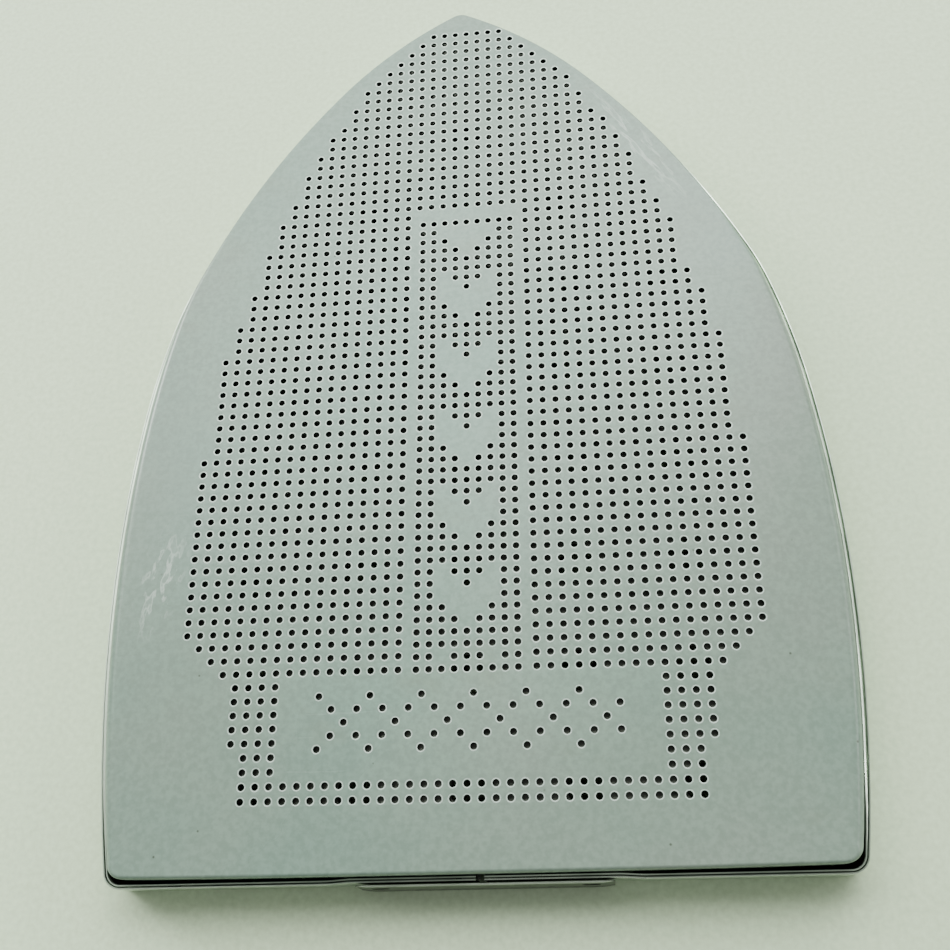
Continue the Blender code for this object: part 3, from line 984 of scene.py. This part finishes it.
def rivet_profile(low, high, crown, shank, under):
    """A domed head on a plain shank, as (radius, z), from the shank's far end to the set mark."""
    radius = (high.x - low.x) / 2
    # the head is at the low end where the rivet is closed from below
    base, tip, far = (low.z + crown, low.z, high.z) if under else (high.z - crown, high.z, low.z)
    rise = tip - base
    bevel = -EDGE_BREAK if under else EDGE_BREAK
    rim_z = base + RIVET_BRIM * rise
    profile = [(RIVET_POLE, far), (shank - EDGE_BREAK, far), (shank, far + bevel)]
    profile += [(shank, base), (radius - 0.05, base), (radius, rim_z)]
    for step in range(1, 8):
        turn = radians(90 * step / 8)
        profile.append((radius * cos(turn), rim_z + (1 - RIVET_BRIM) * rise * sin(turn)))
    mark, lip, depth = RIVET_MARK
    return [*profile, (radius * mark, tip - lip * rise), (RIVET_POLE, tip - depth * rise)]


def build_rivets(look):
    kinds = (("hood", False, HOOD_SHANK, HOOD_CROWN), ("lug", True, LUG_SHANK, LUG_CROWN))
    for start, under, shank, crown in kinds:
        for end, (x, y) in rivet_places(start):
            node = f"{start}_rivet_{end}"
            profile = rivet_profile(*corners_mm(node), crown, shank, under)
            points = []
            for ring_radius, z in profile:
                for i in range(RIVET_SIDES):
                    turn = 2 * pi * i / RIVET_SIDES
                    points.append((x + ring_radius * cos(turn), y + ring_radius * sin(turn), z))
            faces = capped(len(profile), RIVET_SIDES)
            piece(f"rivet_{start}_{end}", points, faces, SHOE, [node], [look], 40.0)


def lug_section(inner, outer, low, high):
    """The bracket's section: up the ear's outer face, over the bend to the flange, and back inside."""
    bend = LUG_PLATE + LUG_BEND
    centre_x, centre_z = inner + bend, high - bend
    turns = [radians(angle) for angle in range(0, 91, 15)]
    outside = [(centre_x - bend * cos(turn), centre_z + bend * sin(turn)) for turn in turns]
    inside = [(centre_x - LUG_BEND * sin(turn), centre_z + LUG_BEND * cos(turn)) for turn in turns]
    flange = [(outer, high), (outer, high - LUG_PLATE)]
    return [(inner, low), *outside, *flange, *inside, (inner + LUG_PLATE, low)]


def build_lugs(look):
    """The two hinge brackets: a flange under the rim's lip, and an ear bent down from it."""
    for side, sign in (("left", -1), ("right", 1)):
        low, high = corners_mm(f"hinge_lug_{side}")
        inner, outer = sorted((abs(low.x), abs(high.x)))
        section = lug_section(inner, outer, low.z, high.z)
        points = []
        for step in range(LUG_STEPS + 1):
            y = low.y + (high.y - low.y) * step / LUG_STEPS
            short = max(LUG_CORNER - min(y - low.y, high.y - y), 0.0)
            trim = LUG_CORNER - max(LUG_CORNER**2 - short**2, 0.0) ** 0.5
            for x, z in section:
                far = outer - trim if x > outer - 0.01 else x
                points.append((sign * far, y, low.z + trim if z < low.z + 0.01 else z))
        bores = []
        for end, (x, y) in rivet_places("lug"):
            if end.startswith(side):
                bores.append(round_bar(f"lug_bore_{end}", (x, y, high.z), LUG_BORE, BORE_HALF, 2))
        pivot = (sign * (inner + LUG_PLATE / 2), PIVOT_Y, PIVOT_Z)
        bores.append(round_bar(f"pivot_bore_{side}", pivot, WIRE + PIVOT_PLAY, BORE_HALF, 0))
        faces = capped(LUG_STEPS + 1, len(section))
        replaces = [f"hinge_lug_{side}"]
        made = piece(f"hinge_ear_{side}", points, faces, SHOE, replaces, [look], bores=bores)
        softened(made, LUG_SOFTENED)


def rounded(corners, radius, steps=12):
    """The path through these corners with each bend an arc of its own, as a list of points."""
    path = [corners[0]]
    for before, corner, after in zip(corners, corners[1:], corners[2:]):
        before, corner, after = Vector(before), Vector(corner), Vector(after)
        into, onward = corner - before, after - corner
        back = min(radius, 0.45 * into.length, 0.45 * onward.length)
        start = corner - into.normalized() * back
        end = corner + onward.normalized() * back
        for step in range(steps + 1):
            t = step / steps
            path.append(tuple((1 - t) ** 2 * start + 2 * t * (1 - t) * corner + t * t * end))
    path.append(corners[-1])
    return path


def build_bail(look):
    """The sprung wire, bent to the CAD's route: out through the ears, along both sides, across."""
    grip_half, grip_out = BAIL_GRIP
    level, reach = WIRE, PIVOT_Y + BAIL_REACH
    right = [
        (PIVOT_END_X, PIVOT_Y, PIVOT_Z), (BAIL_LEG_X, PIVOT_Y, PIVOT_Z), (BAIL_LEG_X, reach, level),
        (grip_half + grip_out, reach, level), (grip_half, reach + grip_out, level),
    ]
    path = rounded(right + [(-x, y, z) for x, y, z in reversed(right)], BAIL_BEND)
    up = Vector((0.0, 0.0, 1.0))
    points = []
    for index, here in enumerate(path):
        before, after = path[max(index - 1, 0)], path[min(index + 1, len(path) - 1)]
        along = (Vector(after) - Vector(before)).normalized()
        across = along.cross(up).normalized()
        lift = across.cross(along)
        thin = WIRE_END if index in (0, len(path) - 1) else 1.0
        for i in range(WIRE_SIDES):
            turn = 2 * pi * i / WIRE_SIDES
            points.append(tuple(Vector(here) + (across * cos(turn) + lift * sin(turn)) * WIRE * thin))
    faces = capped(len(path), WIRE_SIDES)
    return piece("bail_wire", points, faces, BAIL, ["heel_bail"], [look], 40.0)


def main():
    film = non_stick()
    # painted shade: on the rim behind the heel strip, on the inner ply's walls and on the heel strip's face
    rim = metal("rolled_rim", behind_strip)
    inner_rim = metal("inner_rim_shaded", inner_lit_edge)
    strip = metal("strip_shaded_face", strip_lit_edge, STRIP_PAINTED_SHADE)
    plate = metal("oxidised_plate")
    steel = metal("bright_steel")
    build_sole([film, painted_hole_glint(), bore()])
    build_plate(plate)
    build_inner_band(inner_rim)
    build_outer_band(rim)
    build_joiner(strip)
    build_hood(steel)
    build_rivets(steel)
    build_lugs(steel)
    build_bail(steel)


def floor():
    made, tree, shader = new_material("table")
    here = coordinates(tree)
    grain = noise_field(tree, here, 900.0)
    colour = ramp(tree, grain, [(0.30, TABLE_DARK), (0.70, TABLE_LIGHT)])
    tree.links.new(colour, shader.inputs["Base Color"])
    tree.links.new(ramp(tree, grain, [(0.3, grey(0.62)), (0.7, grey(0.54))]), shader.inputs["Roughness"])
    bumped(tree, shader, [(grain, 0.3, 0.05)])
    bpy.ops.mesh.primitive_plane_add(size=TABLE_SIZE, location=(0.0, 0.0, 0.0))
    plane = bpy.context.object
    plane.name = "table"
    plane.data.materials.append(made)


def area_light(name, azimuth, elevation, distance, size, power, colour):
    """A soft box that faces the object from this side: azimuth 0 is beyond the toe, 90 to the right."""
    data = bpy.data.lights.new(name, "AREA")
    data.shape = "RECTANGLE"
    data.size, data.size_y = size
    data.energy = power
    data.color = colour
    made = bpy.data.objects.new(name, data)
    a, e = radians(azimuth), radians(elevation)
    made.location = (distance * sin(a) * cos(e), distance * cos(a) * cos(e), distance * sin(e))
    made.rotation_euler = (-made.location).to_track_quat("-Z", "Y").to_euler()
    bpy.context.collection.objects.link(made)


def lights():
    for name, settings in LIGHTS.items():
        area_light(name, *settings)
    world = bpy.data.worlds.new("room")
    world.use_nodes = True
    background = world.node_tree.nodes["Background"]
    background.inputs["Color"].default_value = ROOM_COLOUR
    background.inputs["Strength"].default_value = ROOM_STRENGTH
    bpy.context.scene.world = world


def camera():
    data = bpy.data.cameras.new("camera")
    data.sensor_width = CAMERA_SENSOR
    data.lens = CAMERA_LENS
    data.clip_start = CAMERA_NEAREST
    made = bpy.data.objects.new("camera", data)
    made.location = CAMERA_AT
    made.rotation_euler = [radians(turn) for turn in CAMERA_TURN]
    bpy.context.collection.objects.link(made)
    bpy.context.scene.camera = made


main()
floor()
lights()
camera()
